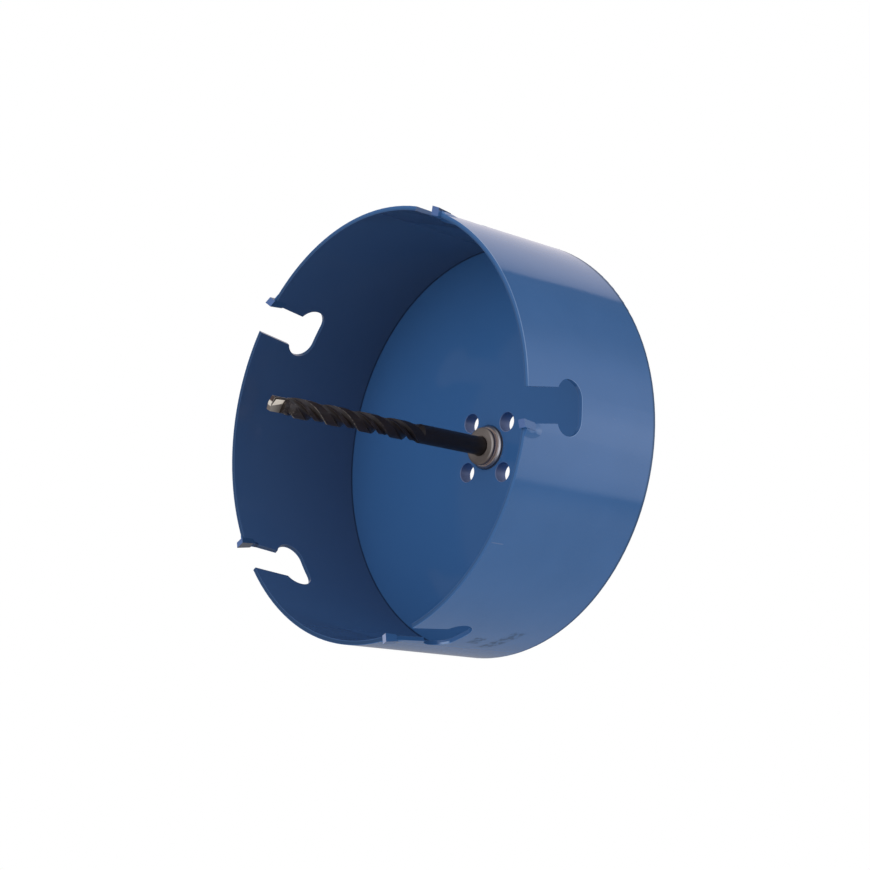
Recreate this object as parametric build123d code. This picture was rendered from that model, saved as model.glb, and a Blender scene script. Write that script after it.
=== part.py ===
from build123d import *
import math
import os

# Hole saw on its arbor, lying with its axis along Y and the toothed mouth towards -Y.
# Everything is drawn with the axis upright (Z towards the drill's point, z = 0 at the
# base plate's back face) and laid down at the end. Angles run from X towards the row's up.

# shell
shell_radius = 76.0          # outside
shell_wall = 1.5
shell_length = 62.5          # back face to rim
back_edge_radius = 1.3

# gullets: an oblong window low down, and a slanted neck from it to the rim
gullet_count = 5
gullet_angle = -3.4          # middle of the first window
window_width = 18.8          # along the wall
window_height = 11.6
window_depth = 19.5          # rim to the window's middle
neck_width = 12.0
neck_slant = 8.6             # degrees from the axis
neck_offset = 0.7            # neck's middle line from the window's middle, at the window

# carbide tips
tip_thickness = 2.5          # along the cut
tip_outer_stand = 0.95       # beyond the shell's outside
tip_inner_stand = 0.65       # inside the shell's inner wall
tip_height = 2.35            # cutting edge above the rim
tip_seat_depth = 4.2         # pocket's floor below the rim
tip_reach = 1.0              # rake face beyond the neck's edge, at the rim
tip_lean = 4.0               # degrees, rake face leaning over the neck
tip_relief = 21.0            # degrees, end face falling away behind the edge
tip_bevel = 8.0              # degrees, end face falling inwards
tip_side_taper = 7.5         # degrees, outer face falling to the wall at the pocket's floor
tip_heel_height = 1.1        # chamfer under the rake face
tip_heel_width = 0.5

# base plate
plate_thickness = 5.0
pin_hole_count = 4
pin_hole_diameter = 6.9
pin_circle_diameter = 25.8
pin_hole_angle = 37.4
plate_bore_chamfer = 0.45
pin_hole_chamfer = 0.2

# arbor
spigot_radius = 7.9          # ringed end in the plate's bore
spigot_stand = 0.5           # last ring above the plate's face
ring_chamfer = 0.8
groove_radius = 6.15
groove_width = 1.0
nose_radius = 6.85
nose_rim_width = 0.9         # nose ring's side
nose_stand = 3.5             # nose face above the plate's face
nose_edge_width = 0.9        # sloping edge round the nose face
nose_edge_drop = 0.3
collar_radius = 8.6
collar_width = 0.9
neck_radius = 5.2
collar_taper = 3.4           # length of the cone from collar to neck
neck_end = 11.5              # plate's back face to the hexagon
hex_across_flats = 11.0
hex_length = 38.0
hex_flat_angle = -103.6
hex_end_chamfer = 0.8
bore_mouth_chamfer = 0.35
drill_clearance = 0.03       # radial, drill in the arbor's bore

# pilot drill
drill_radius = 3.4
drill_depth = 24.0           # shank's end behind the plate's back face
drill_point = 105.5          # plate's back face to the point
flute_start = 38.5           # end of the plain shank
flute_lead = 28.6
flute_fade = 3.5             # length over which the flutes run out into the shank
fade_radius = 1.5
land_width = 65.0            # degrees, full-radius land
land_angle = 67.4            # direction of the lands' middle at the point
flute_width = 52.0           # degrees, deep flute beside each land
flute_floor = 1.85           # radius at its floor
flute_floor_place = 0.4      # floor's place across the flute, from the land
rib_width = 28.0             # degrees, low rib between the deep flute and the shallow one
rib_radius = 2.97
groove_floor = 2.3           # radius at the shallow flute's floor
nose_half_width = 2.6        # radius of the round head that holds the carbide
nose_length = 6.6
nose_taper = 1.8
steel_set_back = 0.3         # steel's point behind the carbide's
steel_point_angle = 160.0
gash_length = 4.5            # ground relief that bares half of the carbide plate, on each side
gash_root = 0.8              # its wall's foot at its end, across the plate from the middle
gash_slant = 18.0            # the wall's foot crosses the plate's middle near the point
gash_wall_lean = 75.0        # the wall leans back from the plate
shank_flat_depth = 0.5
shank_flat_length = 8.0

# carbide plate in the drill's point
carbide_angle = 57.0         # direction of the plate's width
carbide_width = 5.0
carbide_thickness = 1.8
carbide_length = 6.4
carbide_point_angle = 160.0

# set screw
screw_radius = 2.5
screw_recess = 0.2           # below the hexagon's flat
screw_place = 6.0            # hexagon's front end to the screw's middle
screw_flat_number = 3        # flats counted on from hex_flat_angle
screw_socket_flats = 2.5
screw_socket_depth = 1.3

overrun = 5.0                # how far cutting shapes pass what they cut

inner_radius = shell_radius - shell_wall
plate_face = plate_thickness
window_level = shell_length - window_depth
gullet_pitch = 360.0 / gullet_count
hex_start = -neck_end
hex_end = hex_start - hex_length
screw_level = hex_start - screw_place
screw_angle = hex_flat_angle + 60.0 * screw_flat_number
hex_half = hex_across_flats / 2
flat_radius = drill_radius - shank_flat_depth
bore_radius = drill_radius + drill_clearance


def lay_down(piece):
    """Turns a piece from axis upright to axis along Y, mouth towards -Y."""
    return Rot(90, 0, 0) * piece


def turned(points):
    """A solid of revolution about the tool's axis from (radius, height) corners."""
    profile = make_face(Polyline(*[(r, 0, z) for r, z in points], close=True))
    return revolve(profile, Axis.Z)


def cylinder(radius, low, high):
    return Pos(0, 0, low) * Cylinder(radius, high - low, align=(Align.CENTER, Align.CENTER, Align.MIN))


def at_wall(angle, level):
    """Frame on the shell's outside: x along the wall, y upward along the axis, z outward."""
    return Rot(0, 0, angle) * Pos(shell_radius, 0, level) * Rot(0, 0, 90) * Rot(90, 0, 0)


def neck_edge_shift(height):
    """Sideways place of the neck's middle line, this far above the window's middle."""
    return neck_offset - height * math.tan(math.radians(neck_slant))


def gullet_cutter(angle):
    """Window and neck together, as a bar that passes through the wall."""
    through = shell_wall * 2 + overrun
    above = window_depth + overrun
    half_neck = neck_width / 2
    window = SlotOverall(window_width, window_height)
    low, high = neck_edge_shift(0), neck_edge_shift(above)
    neck = make_face(Polyline((low - half_neck, 0), (low + half_neck, 0),
                              (high + half_neck, above), (high - half_neck, above), close=True))
    bar = extrude(window + neck, through / 2, both=True)
    return at_wall(angle, window_level) * bar


def carbide_tip(angle):
    """One insert, its rake face leaning over the neck, its end face falling back and inwards."""
    rim_shift = neck_edge_shift(window_depth) - neck_width / 2
    width = shell_wall + tip_outer_stand + tip_inner_stand
    blank_top = tip_height + overrun
    side = make_face(Polyline(
        (-tip_thickness, -tip_seat_depth), (-tip_heel_width, -tip_seat_depth),
        (0, tip_heel_height - tip_seat_depth), (0, blank_top), (-tip_thickness, blank_top), close=True))
    block = Pos(0, 0, -shell_wall - tip_inner_stand) * extrude(side, width)
    end_face = Pos(0, tip_height, tip_outer_stand) * Rot(0, 0, tip_relief) * Rot(-tip_bevel, 0, 0)
    block -= end_face * Box(blank_top * 4, blank_top * 2, blank_top * 4,
                            align=(Align.CENTER, Align.MIN, Align.CENTER))
    outer_face = Pos(0, tip_height, tip_outer_stand) * Rot(tip_side_taper, 0, 0)
    block -= outer_face * Box(blank_top * 4, blank_top * 4, blank_top,
                              align=(Align.CENTER, Align.CENTER, Align.MIN))
    return at_wall(angle, shell_length) * Pos(rim_shift + tip_reach, 0, 0) * Rot(0, 0, -tip_lean) * block


def saw_shell(tips):
    wall = cylinder(shell_radius, 0, shell_length)
    wall = fillet(wall.edges().group_by(Axis.Z)[0], min(back_edge_radius, shell_wall * 0.9))
    wall -= cylinder(inner_radius, -overrun, shell_length + overrun)
    for i in range(gullet_count):
        wall -= gullet_cutter(gullet_angle + i * gullet_pitch)
    for tip in tips:
        wall -= tip
    return wall


def base_plate():
    plate = cylinder(inner_radius, 0, plate_face)
    bore = turned([(0, -overrun), (spigot_radius, -overrun), (spigot_radius, plate_face - plate_bore_chamfer),
                   (spigot_radius + plate_bore_chamfer, plate_face),
                   (spigot_radius + plate_bore_chamfer, plate_face + overrun), (0, plate_face + overrun)])
    plate -= bore
    pin_radius = pin_hole_diameter / 2
    mouth = pin_radius + pin_hole_chamfer
    pin_hole = turned([(0, -overrun), (pin_radius, -overrun), (pin_radius, plate_face - pin_hole_chamfer),
                       (mouth, plate_face), (mouth, plate_face + overrun), (0, plate_face + overrun)])
    for i in range(pin_hole_count):
        place = Rot(0, 0, pin_hole_angle + i * 360.0 / pin_hole_count) * Pos(pin_circle_diameter / 2, 0, 0)
        plate -= place * pin_hole
    return plate


def screw_frame():
    """Frame on the axis at the set screw, z pointing out through the screw's flat."""
    return Rot(0, 0, screw_angle) * Pos(0, 0, screw_level) * Rot(0, 90, 0)


def arbor():
    face = plate_face + nose_stand
    side_end = face - nose_edge_drop - nose_rim_width
    groove_end = side_end - groove_width
    ring_top = plate_face + spigot_stand + ring_chamfer
    body = turned([
        (0, face), (nose_radius - nose_edge_width, face), (nose_radius, face - nose_edge_drop),
        (nose_radius, side_end), (groove_radius, side_end), (groove_radius, groove_end),
        (spigot_radius - ring_chamfer, ring_top), (spigot_radius, ring_top - ring_chamfer),
        (spigot_radius, 0), (collar_radius, 0), (collar_radius, -collar_width),
        (neck_radius, -collar_width - collar_taper), (neck_radius, hex_start), (0, hex_start)])
    hexagon = Rot(0, 0, hex_flat_angle + 30) * RegularPolygon(hex_half, 6, major_radius=False)
    shank = Pos(0, 0, hex_end) * extrude(hexagon, hex_length)
    corner = hex_half / math.cos(math.radians(30))
    shank &= turned([(0, hex_end), (corner - hex_end_chamfer, hex_end), (corner, hex_end + hex_end_chamfer),
                     (corner, hex_start - hex_end_chamfer / 2), (corner - hex_end_chamfer / 2, hex_start),
                     (0, hex_start)])
    body += shank
    mouth = bore_radius + bore_mouth_chamfer
    body -= turned([(0, -drill_depth), (bore_radius, -drill_depth), (bore_radius, face - bore_mouth_chamfer),
                    (mouth, face), (mouth, face + overrun), (0, face + overrun)])
    return body - screw_frame() * cylinder(screw_radius, 0, hex_half + overrun)


def set_screw():
    outside = hex_half - screw_recess
    screw = cylinder(screw_radius, flat_radius, outside)
    socket = extrude(RegularPolygon(screw_socket_flats / 2, 6, major_radius=False), screw_socket_depth + overrun)
    return screw_frame() * (screw - Pos(0, 0, outside - screw_socket_depth) * socket)


def flute_section():
    """Two lands with a deep flute, a low rib and a shallow flute between them."""
    def at(radius, angle):
        turn = math.radians(angle)
        return (radius * math.cos(turn), radius * math.sin(turn))

    edges = []
    for start in (-land_width / 2, 180.0 - land_width / 2):
        land_end = start + land_width
        rib_start = land_end + flute_width
        rib_end = rib_start + rib_width
        next_land = start + 180.0
        floor = at(flute_floor, land_end + flute_width * flute_floor_place)
        groove = at(groove_floor, (rib_end + next_land) / 2)
        edges += [
            ThreePointArc(at(drill_radius, start), at(drill_radius, start + land_width / 2),
                          at(drill_radius, land_end)),
            ThreePointArc(at(drill_radius, land_end), floor, at(rib_radius, rib_start)),
            Line(at(rib_radius, rib_start), at(rib_radius, rib_end)),
            Line(at(rib_radius, rib_end), groove),
            Line(groove, at(drill_radius, next_land))]
    return make_face(edges).faces()[0]


def carbide_plate():
    """Straight carbide plate across the drill's point."""
    half = carbide_width / 2
    drop = half / math.tan(math.radians(carbide_point_angle / 2))
    low = drill_point - carbide_length
    outline = make_face(Polyline((-half, 0, low), (half, 0, low), (half, 0, drill_point - drop),
                                 (0, 0, drill_point), (-half, 0, drill_point - drop), close=True))
    return Rot(0, 0, carbide_angle) * extrude(outline, carbide_thickness / 2, both=True)


def point_gash(turn):
    """Shape ground out of the steel in front of the plate's leading half, down to the plate."""
    deep = drill_radius + overrun
    slant = math.radians(gash_slant)
    outline = make_face(Polyline((-deep, 0), (0, 0),
                                 (deep * math.tan(math.radians(gash_wall_lean)), -deep),
                                 (-deep, -deep), close=True))
    cutter = extrude(outline, amount=gash_length + overrun, dir=(-math.sin(slant), 0, math.cos(slant)))
    return Rot(0, 0, carbide_angle + turn) * Pos(
        gash_root, -carbide_thickness / 2, drill_point - gash_length) * cutter


def twisted_length(low, high):
    """The fluted bar between two heights; its lands are at land_angle at the point."""
    section = Rot(0, 0, land_angle - 360.0 * (drill_point - low) / flute_lead) * flute_section()
    bar = Solid.extrude_linear_with_rotation(section, center=(0, 0, 0), normal=(0, 0, high - low),
                                             angle=360.0 * (high - low) / flute_lead)
    return Part() + Pos(0, 0, low) * bar


def pilot_drill(carbide):
    nose_start = drill_point - nose_length
    taper_start = nose_start - nose_taper
    steel_point = drill_point - steel_set_back
    nose_shoulder = steel_point - nose_half_width / math.tan(math.radians(steel_point_angle / 2))
    outside = drill_radius + overrun
    taper_rate = nose_taper / (drill_radius - nose_half_width)
    ground_away = turned([
        (nose_half_width, nose_start), (nose_half_width, drill_point),
        (outside, drill_point), (outside, nose_start - taper_rate * (outside - nose_half_width))])
    nose = twisted_length(taper_start, nose_start) - ground_away
    head = turned([(0, nose_start), (nose_half_width, nose_start),
                   (nose_half_width, nose_shoulder), (0, steel_point)])
    nose = nose + head - carbide - point_gash(0) - point_gash(180.0)
    shank = turned([(0, -drill_depth), (drill_radius, -drill_depth), (drill_radius, flute_start),
                    (fade_radius, flute_start + flute_fade), (0, flute_start + flute_fade)])
    flat = screw_frame() * Pos(0, 0, flat_radius) * Box(
        shank_flat_length, drill_radius * 2, overrun, align=(Align.CENTER, Align.CENTER, Align.MIN))
    return shank - flat + twisted_length(flute_start, taper_start) + nose


os.makedirs("parts", exist_ok=True)
tips = [carbide_tip(gullet_angle + i * gullet_pitch) for i in range(gullet_count)]
carbide = carbide_plate()
pieces = {
    "saw_shell": saw_shell(tips),
    "backing_plate": base_plate(),
    "arbor": arbor(),
    "pilot_drill": pilot_drill(carbide),
    "pilot_tip": carbide,
    "drill_set_screw": set_screw(),
}
for i, tip in enumerate(tips):
    pieces[f"carbide_tip_{i + 1}"] = tip

for name, piece in pieces.items():
    export_step(lay_down(piece), f"parts/{name}.step")
    print(name)
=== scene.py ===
import math
import bpy
import bmesh
from mathutils import Matrix, Vector


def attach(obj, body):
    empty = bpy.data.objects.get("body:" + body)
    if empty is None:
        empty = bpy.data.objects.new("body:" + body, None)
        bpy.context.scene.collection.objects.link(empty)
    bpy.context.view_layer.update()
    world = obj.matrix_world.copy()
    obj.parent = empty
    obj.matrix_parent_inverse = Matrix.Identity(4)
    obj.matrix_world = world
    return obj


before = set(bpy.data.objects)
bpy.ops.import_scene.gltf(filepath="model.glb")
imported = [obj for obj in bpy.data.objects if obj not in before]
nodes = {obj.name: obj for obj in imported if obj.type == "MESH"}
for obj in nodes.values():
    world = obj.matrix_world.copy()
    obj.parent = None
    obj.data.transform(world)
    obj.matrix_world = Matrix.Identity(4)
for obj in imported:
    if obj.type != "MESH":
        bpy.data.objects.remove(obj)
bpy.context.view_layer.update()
mm = 0.001
print("frame loaded:", len(nodes), "CAD nodes")


class Wire:
    # one end of a link in a node tree, usable in plain arithmetic
    def __init__(self, tree, end=None):
        self.tree = tree
        self.end = end

    def add(self, kind, settings=None, values=None, out=0):
        node = self.tree.nodes.new(kind)
        for name, value in (settings or {}).items():
            if name == "stops":
                ramp = node.color_ramp
                while len(ramp.elements) < len(value):
                    ramp.elements.new(1.0)
                for stop, (place, shade) in zip(ramp.elements, value):
                    stop.position = place
                    stop.color = (*shade, 1)
            else:
                setattr(node, name, value)
        for key, value in (values or {}).items():
            if isinstance(value, Wire):
                self.tree.links.new(value.end, node.inputs[key])
            else:
                node.inputs[key].default_value = value
        return Wire(self.tree, node.outputs[out])

    def maths(self, operation, *others):
        return self.add("ShaderNodeMath", {"operation": operation}, dict(enumerate((self, *others))))

    def __add__(self, other):
        return self.maths("ADD", other)

    def __radd__(self, other):
        return self.maths("ADD", other)

    def __sub__(self, other):
        return self.maths("SUBTRACT", other)

    def __rsub__(self, other):
        return self.add("ShaderNodeMath", {"operation": "SUBTRACT"}, {0: other, 1: self})

    def __mul__(self, other):
        return self.maths("MULTIPLY", other)

    def __rmul__(self, other):
        return self.maths("MULTIPLY", other)

    def __truediv__(self, other):
        return self.maths("DIVIDE", other)

    def parts(self):
        # its X, Y and Z
        node = self.add("ShaderNodeSeparateXYZ", values={0: self}).end.node
        return [Wire(self.tree, end) for end in node.outputs]

    def step(self, low, high):
        # 0 at low, 1 at high, smooth in between; low may lie above high
        return self.add("ShaderNodeMapRange", {"interpolation_type": "SMOOTHSTEP", "clamp": True},
                        {0: self, 1: low, 2: high, 3: 0.0, 4: 1.0})

    def band(self, low, high, soft):
        # 1 between low and high, fading over soft on both sides of each
        return self.step(low - soft, low + soft) * self.step(high + soft, high - soft)

    def blend(self, first, second):
        # a colour between two others, by this value
        return self.add("ShaderNodeMix", {"data_type": "RGBA"}, {0: self, 6: first, 7: second}, 2)


def newMaterial(name, **plain):
    # a Principled material; plain numbers and colours go straight on its sockets
    material = bpy.data.materials.new(name)
    material.use_nodes = True
    tree = material.node_tree
    shader = tree.nodes["Principled BSDF"]
    for key, value in plain.items():
        shader.inputs[key.replace("_", " ")].default_value = value
    return material, Wire(tree), shader


def feed(shader, **wires):
    for key, wire in wires.items():
        shader.id_data.links.new(wire.end, shader.inputs[key.replace("_", " ")])


def placeOn(start):
    # place on the object in mm, whole and as X, Z and depth from the plate's back towards the mouth
    where = start.add("ShaderNodeTexCoord", out=3)
    where = where.add("ShaderNodeVectorMath", {"operation": "SCALE"}, {0: where, 3: 1 / mm})
    x, y, z = where.parts()
    return where, x, z, 0 - y


def fromAxis(x, z):
    return (x * x + z * z).maths("SQRT")


def roundAxis(x, z):
    # degrees from +X towards +Z
    return z.maths("ARCTAN2", x) * math.degrees(1)


def facing(start):
    # outward direction of the surface in the object's frame
    return start.add("ShaderNodeTexCoord", out=1)


def along(way, direction):
    return way.add("ShaderNodeVectorMath", {"operation": "DOT_PRODUCT"}, {0: way, 1: direction}, 1)


def noise(where, scale, detail=2.0, roughness=0.5):
    return where.add("ShaderNodeTexNoise", values={"Vector": where, "Scale": scale,
                     "Detail": detail, "Roughness": roughness})


def bump(height, strength, distance=0.0001):
    return height.add("ShaderNodeBump", values={"Height": height, "Strength": strength,
                      "Distance": distance})


# camera: stands low on the mouth's right, looking up along the axis
view = {"place": (0.48385, -0.48907, -0.14828), "right": (0.6876, 0.7261, 0.0),
        "forward": (-0.7086, 0.6711, 0.2181), "lens": 79.823, "sensor": 36.0, "clip": (0.01, 20.0)}


def makeCamera():
    lens = bpy.data.cameras.new("camera")
    lens.lens = view["lens"]
    lens.sensor_width = view["sensor"]
    lens.clip_start, lens.clip_end = view["clip"]
    camera = bpy.data.objects.new("camera", lens)
    bpy.context.scene.collection.objects.link(camera)
    forward = Vector(view["forward"]).normalized()
    right = Vector(view["right"]).normalized()
    up = right.cross(forward)
    turn = Matrix((right, up, -forward)).transposed()
    camera.matrix_world = Matrix.Translation(view["place"]) @ turn.to_4x4()
    bpy.context.scene.camera = camera


# studio seen in the gloss. "ring" and "front": degrees round the axis from +X towards +Z,
# brightness and tint. The ring's upper bright strip leans by so many degrees near the mouth.
studio = {"diffuse": 0.8, "strength": 2.0, "frontToRing": (-0.15, 0.25),
          "lean": 2.1, "leanX": (-0.3, -0.08), "leanY": (0.707, 0.690), "leanZ": (0.35, 0.65),
          "grey": (1.0, 1.0, 1.03), "cool": (1.0, 1.07, 1.28), "warm": (1.02, 0.96, 1.02)}
studio["ring"] = [(-180, 0.30, "grey"), (-113, 0.38, "grey"), (-79, 0.43, "grey"),
                  (-44, 0.55, "grey"), (-36, 0.40, "grey"), (-31, 0.25, "grey"),
                  (-28, 0.95, "cool"), (-18, 1.2, "cool"), (-9, 1.25, "cool"),
                  (-1, 1.5, "cool"), (8, 1.5, "cool"), (16, 1.15, "cool"), (25, 0.93, "cool"),
                  (34, 0.8, "cool"), (42, 0.6, "cool"), (51, 0.4, "grey"), (59, 0.28, "grey"),
                  (68, 0.22, "grey"), (76, 0.17, "grey"), (86, 0.16, "grey"), (90, 0.11, "grey"),
                  (91.4, 0.62, "warm"), (96, 0.78, "warm"), (103, 0.86, "warm"),
                  (142, 0.88, "warm"), (152, 0.84, "warm"), (168, 0.55, "warm"),
                  (180, 0.30, "grey")]
studio["front"] = [(-180, 0.17, "grey"), (-75, 0.22, "grey"), (-30, 0.75, "cool"),
                   (45, 0.75, "cool"), (80, 0.30, "grey"), (150, 0.17, "grey")]


def makeStudio():
    world = bpy.data.worlds.new("studio")
    bpy.context.scene.world = world
    world.use_nodes = True
    start = Wire(world.node_tree)
    x, y, z = start.add("ShaderNodeTexCoord", out=0).parts()
    turn = z.maths("ARCTAN2", x) / (2 * math.pi) + 0.5
    lean = y.step(*studio["leanY"]) * z.step(*studio["leanZ"]) * x.step(*studio["leanX"])

    def strip(name, turn):
        stops = [((place + 180) / 360, [bright * c / studio["strength"] for c in studio[tint]])
                 for place, bright, tint in studio[name]]
        return start.add("ShaderNodeValToRGB", {"stops": stops}, {0: turn})

    front = strip("front", turn)
    ring = strip("ring", turn + lean * (studio["lean"] / 360))
    shine = y.step(*studio["frontToRing"]).blend(front, ring)
    # the gloss sees the strips, the rest an even light, and the camera plain white
    outs = start.add("ShaderNodeLightPath").end.node.outputs
    camera, glossy, through = [Wire(start.tree, outs[n]) for n in
                               ("Is Camera Ray", "Is Glossy Ray", "Is Transmission Ray")]
    even = [studio["diffuse"] / studio["strength"]] * 3 + [1]
    white = [1 / studio["strength"]] * 3 + [1]
    tone = camera.maths("MAXIMUM", through).blend(glossy.blend(even, shine), white)
    back = world.node_tree.nodes["Background"]
    world.node_tree.links.new(tone.end, back.inputs["Color"])
    back.inputs["Strength"].default_value = studio["strength"]


# soft square lamp above the front, reaching into the cup; not seen in the gloss
lampFacts = {"power": 6.6, "place": (0.22, -1.45, 0.42), "size": 1.2}


def makeLamp():
    lamp = bpy.data.lights.new("frontLamp", "AREA")
    lamp.energy = lampFacts["power"]
    lamp.shape = "SQUARE"
    lamp.size = lampFacts["size"]
    holder = bpy.data.objects.new("frontLamp", lamp)
    holder.location = lampFacts["place"]
    holder.rotation_euler = (-Vector(lampFacts["place"])).to_track_quat("-Z", "Y").to_euler()
    holder.visible_glossy = False
    bpy.context.scene.collection.objects.link(holder)


# plain pale floor under the held tool, greyer in reflections, fading out towards its edge
floorFacts = {"level": -1.0, "radius": 2.2, "fadeFrom": 0.5, "sides": 96, "roughness": 0.9,
              "pale": (0.90, 0.90, 0.91, 1), "paler": (0.94, 0.94, 0.94, 1),
              "reflected": (0.52, 0.52, 0.52, 1)}


def makeFloor():
    mesh = bpy.data.meshes.new("floor")
    form = bmesh.new()
    bmesh.ops.create_circle(form, cap_ends=True, segments=floorFacts["sides"],
                            radius=floorFacts["radius"])
    form.to_mesh(mesh)
    form.free()
    floor = bpy.data.objects.new("floor", mesh)
    floor.location.z = floorFacts["level"]
    bpy.context.scene.collection.objects.link(floor)
    material, start, shader = newMaterial("paleFloor", Roughness=floorFacts["roughness"])
    spot = start.add("ShaderNodeTexCoord", out=3)
    path = start.add("ShaderNodeLightPath")
    shiny = Wire(start.tree, path.end.node.outputs["Is Glossy Ray"])
    pale = noise(spot, 3.0).blend(floorFacts["pale"], floorFacts["paler"])
    across = spot.add("ShaderNodeVectorMath", {"operation": "LENGTH"}, {0: spot}, 1)
    feed(shader, Base_Color=shiny.blend(pale, floorFacts["reflected"]),
         Alpha=across.step(floorFacts["radius"], floorFacts["fadeFrom"]))
    mesh.materials.append(material)


# sizes of the CAD nodes that marks and mounds follow, mm and degrees; arc is mm of wall a degree
cup = {"outer": 76.0, "inner": 74.5, "rim": 62.5, "plateFace": 5.0, "arc": 1.3265,
       "pins": {"circle": 12.9, "radius": 3.45, "first": 37.4, "pitch": 90.0},
       "windows": {"first": -3.4, "pitch": 72.0, "count": 5, "middle": 3.6, "endDepth": 43.0,
                   "slant": 0.1512}}

# blue gloss paint of the cup and its backing plate; its inside, rim, cut-face, crease and hole tones
# are painted shade and light, its edge tone a painted highlight
paint = {"deep": (0.037, 0.124, 0.318, 1), "light": (0.043, 0.136, 0.344, 1),
         "speckle": (0.046, 0.134, 0.325, 1), "gloss": 0.075, "ior": 1.5,
         "insideHighShade": (0.039, 0.080, 0.182, 1), "insideLowShade": (0.049, 0.104, 0.240, 1),
         "plate": (0.036, 0.116, 0.300, 1), "rimShadeRight": (0.042, 0.118, 0.285, 1),
         "rimShadeLeft": (0.020, 0.055, 0.135, 1), "cut": (0.030, 0.092, 0.240, 1),
         "creaseShadeAndSpots": (0.008, 0.020, 0.060, 1), "holeTopShade": (0.002, 0.066, 0.36, 1),
         "holeFootLight": (0.62, 0.66, 0.95, 1), "holeMatt": (0.02, 0.07, 0.20, 1),
         "scuff": (0.16, 0.22, 0.36, 1), "edge": (0.30, 0.42, 0.66, 1),
         "smudgeAndShade": (0.035, 0.055, 0.085, 1)}

# marks on it: degrees round the axis, depth in mm, pits also their size
marks = {"pits": [(-153.4, 57.4, 0.7), (-83.5, 56.6, 0.8), (62.2, 55.6, 0.45)],
         "row": {"start": -80.2, "length": 11.1, "depth": 21.0, "slant": 4.2, "half": 2.9},
         "blot": {"angle": -75.8, "depth": 29.0, "halfAngle": 2.0, "half": 2.6},
         "glint": {"angle": (-81.4, -79.4), "depth": (36.0, 41.0)},
         "scratch": {"angle": -39.6, "halfAngle": 0.12, "depth": (56.5, 61.5)},
         "scuffGrid": (1.33, 0.12)}


def holeWalls(radius, angle, depth):
    # 1 on the walls of the pin holes through the plate
    pins = cup["pins"]
    turn = (angle - pins["first"]).maths("WRAP", pins["pitch"] / 2, -pins["pitch"] / 2)
    turn = turn * math.radians(1)
    across = radius * turn.maths("COSINE") - pins["circle"]
    aside = radius * turn.maths("SINE")
    near = (across * across + aside * aside).step((pins["radius"] + 0.25) ** 2,
                                                  (pins["radius"] + 0.1) ** 2)
    return near * depth.band(0.1, cup["plateFace"] + 0.1, 0.05)


def smudges(where, angle, depth, outside):
    # faint dull row that slants towards the back, and a blot nearer the mouth
    facts = marks["row"]
    row = (angle - facts["start"]) / facts["length"]
    line = depth - facts["depth"] + row * facts["slant"]
    fleck = 0.2 + 0.8 * noise(where, 0.62, 2.0).step(0.44, 0.54)
    darkened = row.band(0.0, 1.02, 0.04) * line.band(-facts["half"], facts["half"], 0.6)
    facts = marks["blot"]
    side = (angle - facts["angle"]).band(-facts["halfAngle"], facts["halfAngle"], 0.4)
    darkened = darkened + side * (depth - facts["depth"]).band(-facts["half"], facts["half"], 0.5)
    return darkened * fleck * outside


def litEdges(x, z, angle, depth, outside):
    # painted highlight on outer edges that turn towards the mouth: the rim and the windows' closed
    # ends
    windows = cup["windows"]
    side = (angle - windows["first"]).maths("WRAP", windows["pitch"] / 2, -windows["pitch"] / 2)
    side = (side * cup["arc"]).maths("ABSOLUTE") - windows["middle"]
    side = side.maths("MAXIMUM", 0.0)
    down = depth - windows["endDepth"]
    ends = (side * side + down * down).maths("SQRT").band(5.75, 5.98, 0.08)
    ends = ends * depth.step(windows["endDepth"], windows["endDepth"] - 2.0)
    rim = depth.step(cup["rim"] - 0.5, cup["rim"] - 0.25) * z.step(-4.0, 6.0)
    return ends.maths("MAXIMUM", rim) * outside * x.step(5.0, 60.0)


def wear(where, angle, depth, outside):
    # light scuffs and one short scratch
    wide, high = marks["scuffGrid"]
    grid = where.add("ShaderNodeCombineXYZ", values={0: angle * wide, 1: depth * high, 2: 0.0})
    scuff = noise(grid, 1.7, 3.0, 0.6).step(0.66, 0.74) * noise(where, 0.06, 1.0).step(0.5, 0.62)
    facts = marks["scratch"]
    scratch = (angle - facts["angle"]).band(-facts["halfAngle"], facts["halfAngle"], 0.06)
    scratch = scratch * depth.band(*facts["depth"], 0.6)
    return (scuff * 0.22).maths("MAXIMUM", scratch * 0.5) * outside


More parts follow.
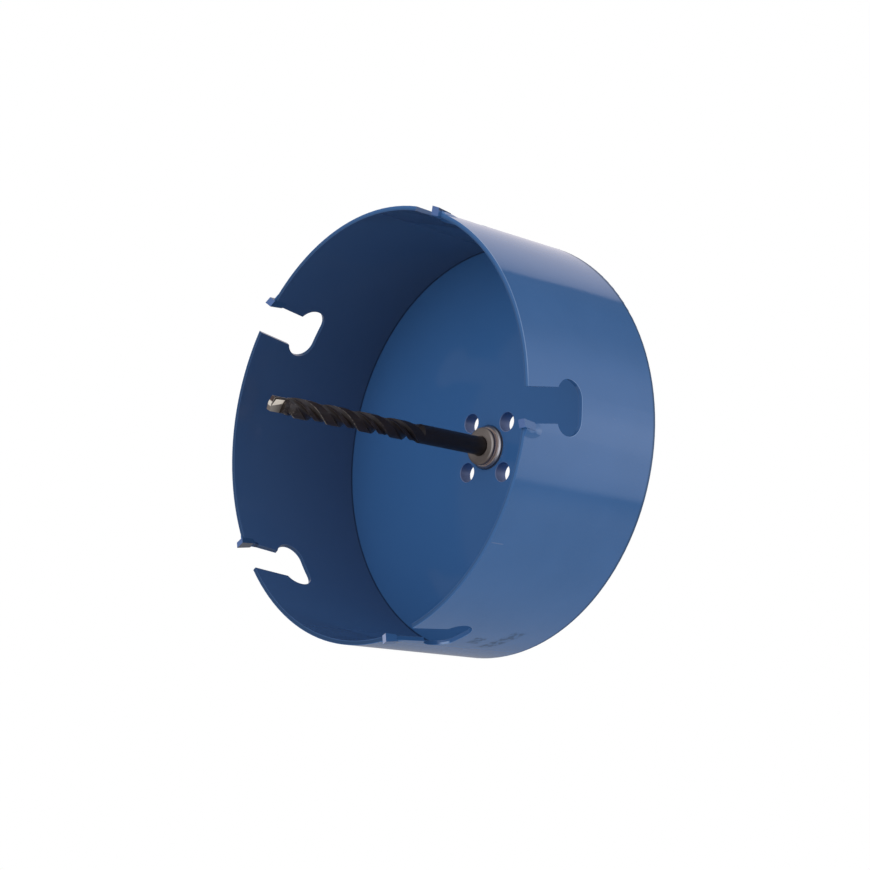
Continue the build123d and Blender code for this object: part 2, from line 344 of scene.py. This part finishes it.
def bluePaint(name):
    material, start, shader = newMaterial(name, IOR=paint["ior"])
    where, x, z, depth = placeOn(start)
    radius, angle = fromAxis(x, z), roundAxis(x, z)
    inner, rimDepth, face = cup["inner"], cup["rim"], cup["plateFace"]
    cloud = noise(where, 0.035, 3.0)
    grain = noise(where, 1.4, 2.0)
    tone = cloud.step(0.3, 0.7).blend(paint["deep"], paint["light"])
    tone = (grain.step(0.35, 0.75) * 0.5).blend(tone, paint["speckle"])
    # inside wall, painted darker as shade and darkest towards the top, and the plate's face
    inside = radius.band(inner - 0.2, inner + 0.2, 0.1) * depth.step(face + 0.02, face + 0.1)
    tone = inside.blend(tone, z.step(-75.0, 60.0).blend(paint["insideLowShade"], paint["insideHighShade"]))
    plate = radius.step(inner + 0.3, inner + 0.1) * depth.band(face - 0.3, face + 0.01, 0.02)
    tone = (plate * 0.9).blend(tone, paint["plate"])
    # cut faces of the wall, painted darker as shade: the rim, darker on the left and towards its
    # inner edge, and the windows' sides
    rim = (x + z * 0.4).step(-40.0, 50.0) * depth.step(rimDepth - 0.2, rimDepth - 0.08)
    rim = rim * (0.45 + 0.55 * radius.step(inner + 0.2, inner + 0.9))
    rim = rim.blend(paint["rimShadeLeft"], paint["rimShadeRight"])
    sides = x.step(-40.0, 20.0) * depth.step(rimDepth - 0.08, rimDepth - 0.2)
    cutFace = radius.band(inner + 0.15, cup["outer"] - 0.15, 0.08)
    cutFace = cutFace * depth.step(face + 0.2, face + 1.0)
    tone = cutFace.blend(tone, sides.blend(rim, paint["cut"]))
    # painted shade in the crease between plate and wall
    creaseShadeAndSpots = radius.band(inner - 0.4, inner + 0.1, 0.15)
    creaseShadeAndSpots = creaseShadeAndSpots * depth.step(face + 0.6, face + 0.2) * depth.step(face - 0.2, face - 0.1)
    tone = (creaseShadeAndSpots * 0.8).blend(tone, paint["creaseShadeAndSpots"])
    # pin holes: painted shade above and painted light below
    hole = holeWalls(radius, angle, depth)
    up = facing(start).parts()[2]
    tone = hole.blend(tone, up.step(-0.95, 0.05).blend(paint["holeTopShade"], paint["holeFootLight"]))
    # small dark pits beside the inserts
    for turn, deep, size in marks["pits"]:
        side = (angle - turn) * cup["arc"]
        lie = depth - deep
        far = side * side + lie * lie
        tone = (far.step((size + 0.3) ** 2, (size * 0.6) ** 2) * 0.75).blend(tone, paint["creaseShadeAndSpots"])
    outside = radius.step(cup["outer"] - 0.1, cup["outer"] - 0.02)
    # painted highlight on those outer edges
    tone = (litEdges(x, z, angle, depth, outside) * 0.42).blend(tone, paint["edge"])
    # short glint on the lowest window's cut face
    facts = marks["glint"]
    glint = radius.band(inner + 0.75, cup["outer"] - 0.05, 0.1)
    glint = glint * angle.band(*facts["angle"], 0.4) * depth.band(*facts["depth"], 0.5)
    tone = (glint * 0.6).blend(tone, paint["edge"])
    worn = wear(where, angle, depth, outside)
    tone = worn.blend(tone, paint["scuff"])
    feed(shader, Base_Color=tone, Normal=bump(noise(where, 0.45, 2.0), 0.05, 0.0002),
         Roughness=paint["gloss"] + 0.03 * cloud + 0.2 * worn + 0.1 * hole)
    # matt layers over the gloss: the back edge's thin dark line, which is painted shade, with the
    # smudges, and the holes
    lowDepth = depth - z.step(25.0, 65.0) * 1.5
    backEdgeShade = radius.step(inner - 0.6, inner + 0.1) * x.step(5.0, 25.0) * lowDepth.step(2.1, 1.4)
    darkened = (backEdgeShade * 0.55).maths("MAXIMUM", smudges(where, angle, depth, outside) * 0.46)
    mixed = Wire(start.tree, shader.outputs[0])
    for share, shade in ((darkened, "smudgeAndShade"), (hole * 0.75, "holeMatt")):
        matt = start.add("ShaderNodeBsdfDiffuse", values={0: paint[shade]})
        mixed = share.add("ShaderNodeMixShader", values={0: share, 1: mixed, 2: matt})
    output = start.tree.nodes["Material Output"]
    start.tree.links.new(mixed.end, output.inputs["Surface"])
    return material


# the same paint on the inserts, painted paler on their end faces as painted reflection
tips = {"end": (0.078, 0.142, 0.335, 1), "side": (0.040, 0.118, 0.300, 1),
        "rake": (0.105, 0.115, 0.150, 1), "lit": (0.30, 0.36, 0.56, 1),
        "dim": (0.028, 0.072, 0.175, 1), "edge": (0.020, 0.030, 0.060, 1),
        "proud": (76.35, 76.6)}


def paintedCarbide(name):
    material, start, shader = newMaterial(name, IOR=paint["ior"])
    where, x, z = placeOn(start)[:3]
    radius = fromAxis(x, z)
    wayX, wayY, wayZ = facing(start).parts()
    grit = noise(where, 2.2, 3.0)
    end = (0 - wayY).step(0.7, 0.88)
    # end faces painted paler as painted reflection, the lowest inserts' palest as painted light;
    # faces on the left that turn from the mouth painted darker as shade
    tone = end.blend(tips["side"], tips["end"])
    tone = (end * z.step(-60.0, -70.0)).blend(tone, tips["lit"])
    tone = (x.step(20.0, -30.0) * wayY.step(-0.7, -0.5)).blend(tone, tips["dim"])
    # cutting faces, which look ahead round the axis, on the left
    ahead = ((x * wayZ - z * wayX) / radius).step(0.85, 0.95)
    tone = (ahead * x.step(-20.0, -50.0) * z.step(10.0, -10.0)).blend(tone, tips["rake"])
    tone = (grit.step(0.55, 0.75) * 0.35).blend(tone, tips["edge"])
    # the topmost insert's outer edge is dark
    lid = radius.step(*tips["proud"]) * x.step(10.0, 20.0) * z.step(55.0, 62.0)
    lid = lid * wayY.step(-0.6, -0.4)
    tone = (lid * 0.85).blend(tone, tips["edge"])
    feed(shader, Base_Color=tone, Roughness=0.16 + 0.14 * grit + 0.3 * lid,
         Normal=bump(grit, 0.12))
    return material


# bare turned steel of the arbor, with painted light, shade and reflection in its zones; depths and
# radii of its zones in mm
steel = {"tone": (0.43, 0.37, 0.335, 1), "stain": (0.33, 0.28, 0.25, 1), "roughness": 0.24,
         "metallic": 0.6, "low": (0.20, 0.16, 0.145, 1), "groove": (0.16, 0.115, 0.105, 1),
         "bright": (0.96, 0.91, 0.88, 1), "blueReflection": (0.18, 0.21, 0.30, 1),
         "front": (0.80, 0.65, 0.58, 1), "foot": (0.05, 0.07, 0.12, 1),
         "nose": (8.1, 8.2), "noseSide": (7.5, 8.05), "grooveDepth": (6.25, 7.4),
         "slopeRadius": (6.0, 6.55), "ringRadius": (7.3, 7.7), "ringDepth": (5.1, 6.1)}


def turnedSteel(name):
    material, start, shader = newMaterial(name, Metallic=steel["metallic"])
    where, x, z, depth = placeOn(start)
    radius, angle = fromAxis(x, z), roundAxis(x, z)
    grid = where.add("ShaderNodeCombineXYZ", values={0: radius, 1: depth, 2: 0.0})
    rings = noise(grid, 5.0, 3.0)
    stain = noise(where, 0.35, 3.0)
    nose = depth.step(*steel["nose"])
    tone = (stain.step(0.4, 0.7) * 0.25).blend(steel["tone"], steel["stain"])
    # nose face darker above and below its middle and its side darker still, as painted shade; the
    # groove's walls painted a pale reddish tone as painted light
    darkened = z.step(0.0, -6.0) * 0.75 + z.step(1.0, 6.0) * 0.35
    tone = (darkened * nose).blend(tone, steel["low"])
    sunk = depth.band(*steel["noseSide"], 0.1) + radius.step(6.55, 6.8) * depth.step(8.0, 8.1) * 0.7
    tone = sunk.blend(tone, steel["groove"])
    tone = depth.band(*steel["grooveDepth"], 0.1).blend(tone, steel["front"])
    # painted highlights on the edges on the right
    wearAndHighlight = angle.band(-40.0, 30.0, 25.0) * x.step(0.0, 2.0)
    slope = radius.band(*steel["slopeRadius"], 0.15) * nose * 0.55
    ring = radius.band(*steel["ringRadius"], 0.12) * depth.band(*steel["ringDepth"], 0.1)
    tone = ((slope + ring) * wearAndHighlight).blend(tone, steel["bright"])
    # painted reflection of the paint's blue on the ring above and below, and painted shade at its
    # foot
    blueReflection = z.step(-3.5, -6.5) + z.step(5.0, 7.0)
    blueReflection = blueReflection * radius.step(7.0, 7.4) * depth.band(5.1, 6.2, 0.05)
    tone = blueReflection.blend(tone, steel["blueReflection"])
    foot = radius.step(7.74, 7.84) * depth.band(5.0, 6.0, 0.05)
    tone = (foot * 0.8).blend(tone, steel["foot"])
    feed(shader, Base_Color=tone, Roughness=steel["roughness"] + 0.14 * rings,
         Normal=bump(rings, 0.12))
    return material


# black oxide of the pilot drill, worn bright along its lands' edges and ground bare at the point
drill = {"tone": (0.019, 0.0127, 0.0105, 1), "brown": (0.024, 0.015, 0.013, 1),
         "bright": (0.30, 0.26, 0.22, 1), "ground": (0.93, 0.84, 0.73, 1),
         "point": 105.5, "lead": 28.6, "landStart": 67.4 - 32.5, "flutes": (40.0, 62.0),
         "landRadius": (3.05, 3.25), "ribRadius": (2.7, 2.9), "noseRadius": (2.7, 2.62),
         "gashFacing": (0.6694, 0.084, -0.7381), "gashDepth": (101.0, 101.05)}


def blackDrill(name):
    material, start, shader = newMaterial(name)
    where, x, z, depth = placeOn(start)
    radius, angle = fromAxis(x, z), roundAxis(x, z)
    stain = noise(where, 0.5, 3.0)
    fluted = depth.step(*drill["flutes"])
    tone = (stain.step(0.35, 0.65) * fluted).blend(drill["tone"], drill["brown"])
    # degrees from a land's leading edge, following the flutes' twist
    turn = angle - drill["landStart"] + (drill["point"] - depth) * (360 / drill["lead"])
    turn = turn.maths("WRAP", 180.0, 0.0)
    outer = radius.step(*drill["landRadius"]) * fluted
    ragged = 0.15 + 0.6 * noise(where, 1.1, 2.0).step(0.35, 0.6)
    edge = turn.step(7.0, 4.0) + 0.2 * turn.band(62.0, 65.5, 1.0)
    edge = edge * outer * depth.step(45.0, 85.0)
    rib = 0.2 * turn.band(116.0, 121.0, 1.5) * radius.step(*drill["ribRadius"]) * fluted
    tone = ((edge + rib) * ragged).blend(tone, drill["bright"])
    wearAndHighlight = noise(where, 1.9, 2.0).step(0.58, 0.74) * depth.step(90.0, 98.0)
    tone = (wearAndHighlight * 0.3).blend(tone, drill["bright"])
    # bare ground strips beside the carbide
    ground = along(facing(start), drill["gashFacing"]).maths("ABSOLUTE").step(0.976, 0.984)
    ground = ground * depth.step(*drill["gashDepth"]) * radius.step(*drill["noseRadius"])
    tone = ground.blend(tone, drill["ground"])
    feed(shader, Base_Color=tone, Roughness=0.36 + 0.12 * stain,
         Normal=bump(noise(where, 3.0), 0.08))
    return material


# brazed carbide of the point: grey faces, darker relief, bright cutting edges; the end faces' tones
# and the edges' brightness are painted light and shade
carbide = {"root": (0.105, 0.092, 0.084, 1), "end": (0.27, 0.245, 0.22, 1),
           "relief": (0.15, 0.125, 0.115, 1), "ground": (0.62, 0.57, 0.51, 1),
           "endShade": (0.055, 0.034, 0.032, 1), "edge": (0.85, 0.82, 0.80, 1),
           "depth": (101.5, 106.5), "across": (0.5446, 0.8387),
           "faces": [(0.8387, 0.0, -0.5446), (0.5446, 0.0, 0.8387),
                     (0.0946, -0.9848, 0.1456), (-0.0946, -0.9848, -0.1456)]}


def bareCarbide(name):
    material, start, shader = newMaterial(name)
    where, x, z, depth = placeOn(start)
    way = facing(start)
    grit = noise(where, 4.0, 3.0)
    tone = (depth + grit * 2.0).step(*carbide["depth"]).blend(carbide["root"], carbide["end"])
    # end faces: a pale middle strip as painted highlight, painted shade in dark brown on one side
    # and the darker relief on the other
    across = x * carbide["across"][0] + z * carbide["across"][1]
    end = across.step(-1.0, -0.6).blend(carbide["relief"], carbide["ground"])
    end = across.step(0.6, 1.0).blend(end, carbide["endShade"])
    tone = along(way, (0.0, -1.0, 0.0)).step(0.6, 0.9).blend(tone, end)
    # painted highlight on the edges, which are where the surface follows none of the plate's faces
    most = along(way, carbide["faces"][0]).maths("ABSOLUTE")
    for face in carbide["faces"][1:]:
        most = most.maths("MAXIMUM", along(way, face).maths("ABSOLUTE"))
    tone = most.step(0.99, 0.96).blend(tone, carbide["edge"])
    feed(shader, Base_Color=tone, Roughness=0.3 + 0.15 * grit, Normal=bump(grit, 0.15))
    return material


# hidden set screw
screw = {"dark": (0.015, 0.015, 0.016, 1), "pale": (0.03, 0.028, 0.027, 1)}


def screwBlack(name):
    material, start, shader = newMaterial(name)
    grit = noise(placeOn(start)[0], 2.0, 3.0)
    feed(shader, Base_Color=grit.blend(screw["dark"], screw["pale"]),
         Roughness=0.4 + 0.15 * grit, Normal=bump(grit, 0.2))
    return material


# braze beds: painted mounds on the wall beside and below each insert, mm
bed = {"edge": -5.3, "middle": (-9.6, 59.8), "reach": (2.9, 4.9), "near": 2.7,
       "heights": (0.72, 0.72, 0.7, 0.7, 0.5), "sink": 0.25, "top": 62.42, "under": 0.02,
       "wave": 0.04, "fall": 1.6, "cells": (30, 44)}


def bedPoint(turn, aside, depth, high):
    # a point on the cup's outside: aside along the wall, high above it
    way = math.radians(turn) + aside / cup["outer"]
    reach = cup["outer"] + high
    return Vector((reach * math.cos(way), -depth, reach * math.sin(way))) * mm


def brazeBed(number, finish):
    windows = cup["windows"]
    turn = windows["first"] + number * windows["pitch"]
    across, down = bed["cells"]
    middle, heart = bed["middle"]
    wide, tall = bed["reach"]
    form = bmesh.new()
    upper, lower = [], []
    low = heart - tall
    for j in range(down + 1):
        depth = low + (bed["top"] - low) * j / down
        part = (depth - heart) / tall
        half = wide * math.sqrt(max(0.0004, 1 - part * part))
        right = bed["edge"] - windows["slant"] * (depth - windows["endDepth"]) - bed["under"]
        left = min(middle - half, right - 0.3)
        for i in range(across + 1):
            aside = right + (left - right) * i / across
            reach = wide if aside < middle else bed["near"]
            off = min(1.0, math.hypot((aside - middle) / reach, min(part, 0.0)))
            wave = bed["wave"] * math.sin(2.1 * aside + number) * math.sin(1.7 * depth + 2 * number)
            high = (bed["heights"][number] + wave) * (1 - off ** bed["fall"]) - bed["under"]
            upper.append(form.verts.new(bedPoint(turn, aside, depth, high)))
            lower.append(form.verts.new(bedPoint(turn, aside, depth, -bed["sink"])))
    row = across + 1
    for j in range(down):
        for i in range(across):
            a, b = j * row + i, (j + 1) * row + i
            form.faces.new((upper[a], upper[a + 1], upper[b + 1], upper[b]))
            form.faces.new((lower[a], lower[b], lower[b + 1], lower[a + 1]))
    for j in range(down):
        for i in (0, across):
            a, b = j * row + i, (j + 1) * row + i
            form.faces.new((upper[a], upper[b], lower[b], lower[a]))
    for i in range(across):
        for a in (i, down * row + i):
            form.faces.new((upper[a], upper[a + 1], lower[a + 1], lower[a]))
    bmesh.ops.recalc_face_normals(form, faces=form.faces)
    mesh = bpy.data.meshes.new("brazeBed_%d" % (number + 1))
    form.to_mesh(mesh)
    form.free()
    for face in mesh.polygons:
        face.use_smooth = True
    mesh.set_sharp_from_angle(angle=math.radians(40))
    mesh.materials.append(finish)
    piece = bpy.data.objects.new(mesh.name, mesh)
    bpy.context.scene.collection.objects.link(piece)
    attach(piece, "root")


# width in mm of the rounding on sharp edges
soften = {"pilot_tip": 0.17}
soften.update({"carbide_tip_%d" % n: 0.12 for n in range(1, 6)})


def dress():
    blue = bluePaint("bluePaint")
    painted = paintedCarbide("paintedCarbide")
    finishes = {"saw_shell": blue, "backing_plate": blue, "arbor": turnedSteel("turnedSteel"),
                "pilot_drill": blackDrill("blackDrillSteel"),
                "pilot_tip": bareCarbide("bareCarbide"),
                "drill_set_screw": screwBlack("blackScrewSteel")}
    for name, node in nodes.items():
        node.data.materials.clear()
        node.data.materials.append(finishes.get(name, painted))
        if name in soften:
            edge = node.modifiers.new("softEdge", "BEVEL")
            edge.width = soften[name] * mm
            edge.segments = 2
            edge.limit_method = "ANGLE"
            edge.angle_limit = math.radians(35)
            edge.harden_normals = False
    return blue


bpy.context.scene.view_settings.view_transform = "Standard"
makeCamera()
makeStudio()
makeLamp()
makeFloor()
print("camera, light and floor made")
blue = dress()
print("materials given")
for number in range(cup["windows"]["count"]):
    brazeBed(number, blue)
print("braze beds made")
